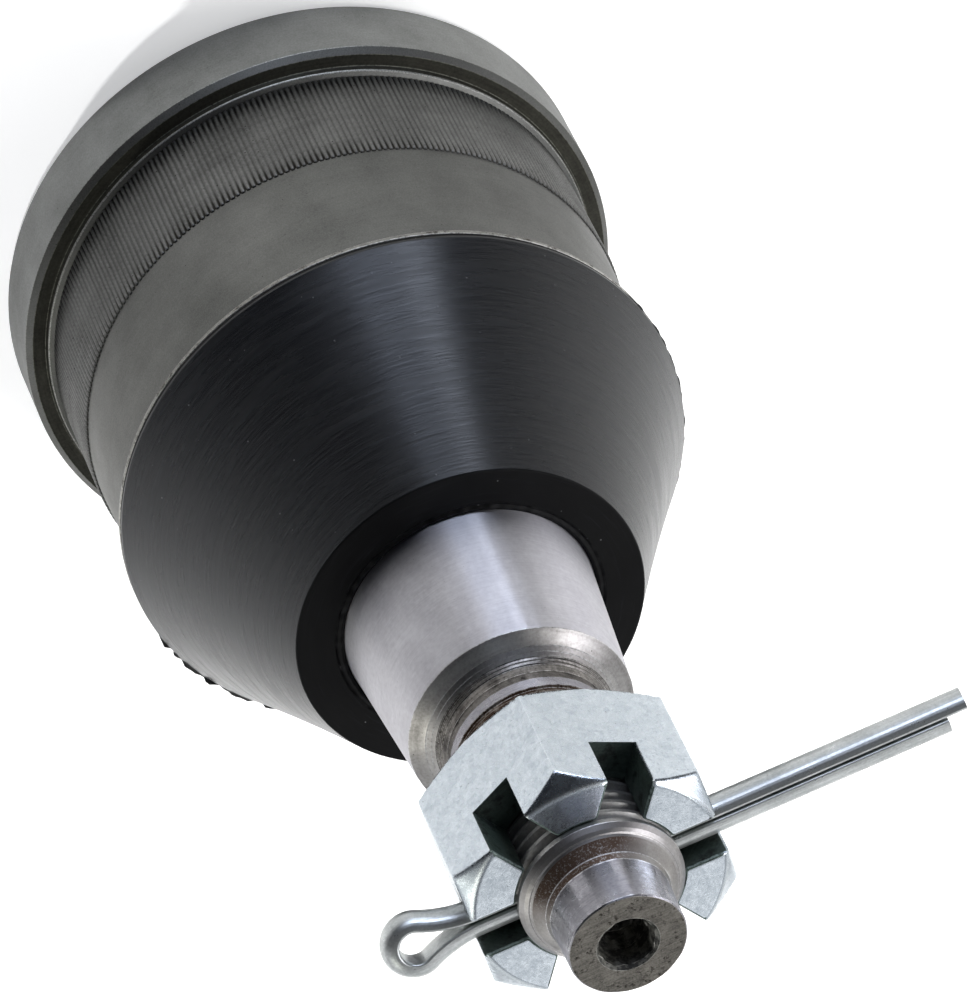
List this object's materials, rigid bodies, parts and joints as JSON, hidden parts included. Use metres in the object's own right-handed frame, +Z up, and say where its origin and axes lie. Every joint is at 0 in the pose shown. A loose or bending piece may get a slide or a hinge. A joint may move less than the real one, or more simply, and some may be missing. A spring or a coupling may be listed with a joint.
{
  "type": "suspension ball joint",
  "caption": "Press-in suspension ball joint with a flanged, knurled body, a cone-shaped rubber boot, a tapered stud, a slotted nut and a cotter pin.",
  "frame": {"origin": "centre of the ball, on the axis of the stud and of the press-fit band", "axes": "+Z up the stud with the part standing on its flange, +X towards the eye of the cotter pin"},
  "size_m": [0.0672, 0.0604, 0.111],
  "materials": {
    "phosphated_steel": "dark grey phosphate on forged and turned steel",
    "spring_steel": "oiled spring steel",
    "bearing": "plain moulded acetal",
    "stud_steel": "ground and turned bright steel",
    "ring_steel": "pressed steel with a bright edge",
    "boot_rubber": "black moulded rubber, satin",
    "zinc_plate": "dull zinc plating",
    "zinc_wire": "bright zinc plating on drawn wire"
  },
  "bodies": {
    "body": {"housing": "phosphated_steel", "cover_plate": "phosphated_steel", "preload_spring": "spring_steel"},
    "boot_and_bearing": {"lower_bearing": "bearing", "upper_bearing": "bearing", "boot_base_ring": "ring_steel", "boot": "boot_rubber"},
    "boot_neck": {"boot_neck_ring": "bearing"},
    "stud": {"ball_stud": "stud_steel", "castle_nut": "zinc_plate"},
    "pin": {"cotter_pin": "zinc_wire"}
  },
  "joints": [
    {"name": "lean_direction", "type": "hinge", "parent": "body", "child": "boot_and_bearing", "pos_m": [0, 0, 0], "axis": [0, 0, 1], "continuous": true},
    {"name": "stud_lean", "type": "hinge", "parent": "boot_and_bearing", "child": "boot_neck", "pos_m": [0, 0, 0], "axis": [0, 1, 0], "range_deg": [-22, 22], "deforming": ["boot"]},
    {"name": "stud_turn", "type": "hinge", "parent": "boot_neck", "child": "stud", "pos_m": [0, 0, 0], "axis": [0, 0, 1], "continuous": true},
    {"name": "pin_pull", "type": "slide", "parent": "stud", "child": "pin", "axis": [1, 0, 0], "range_m": [0, 0.066]}
  ]
}
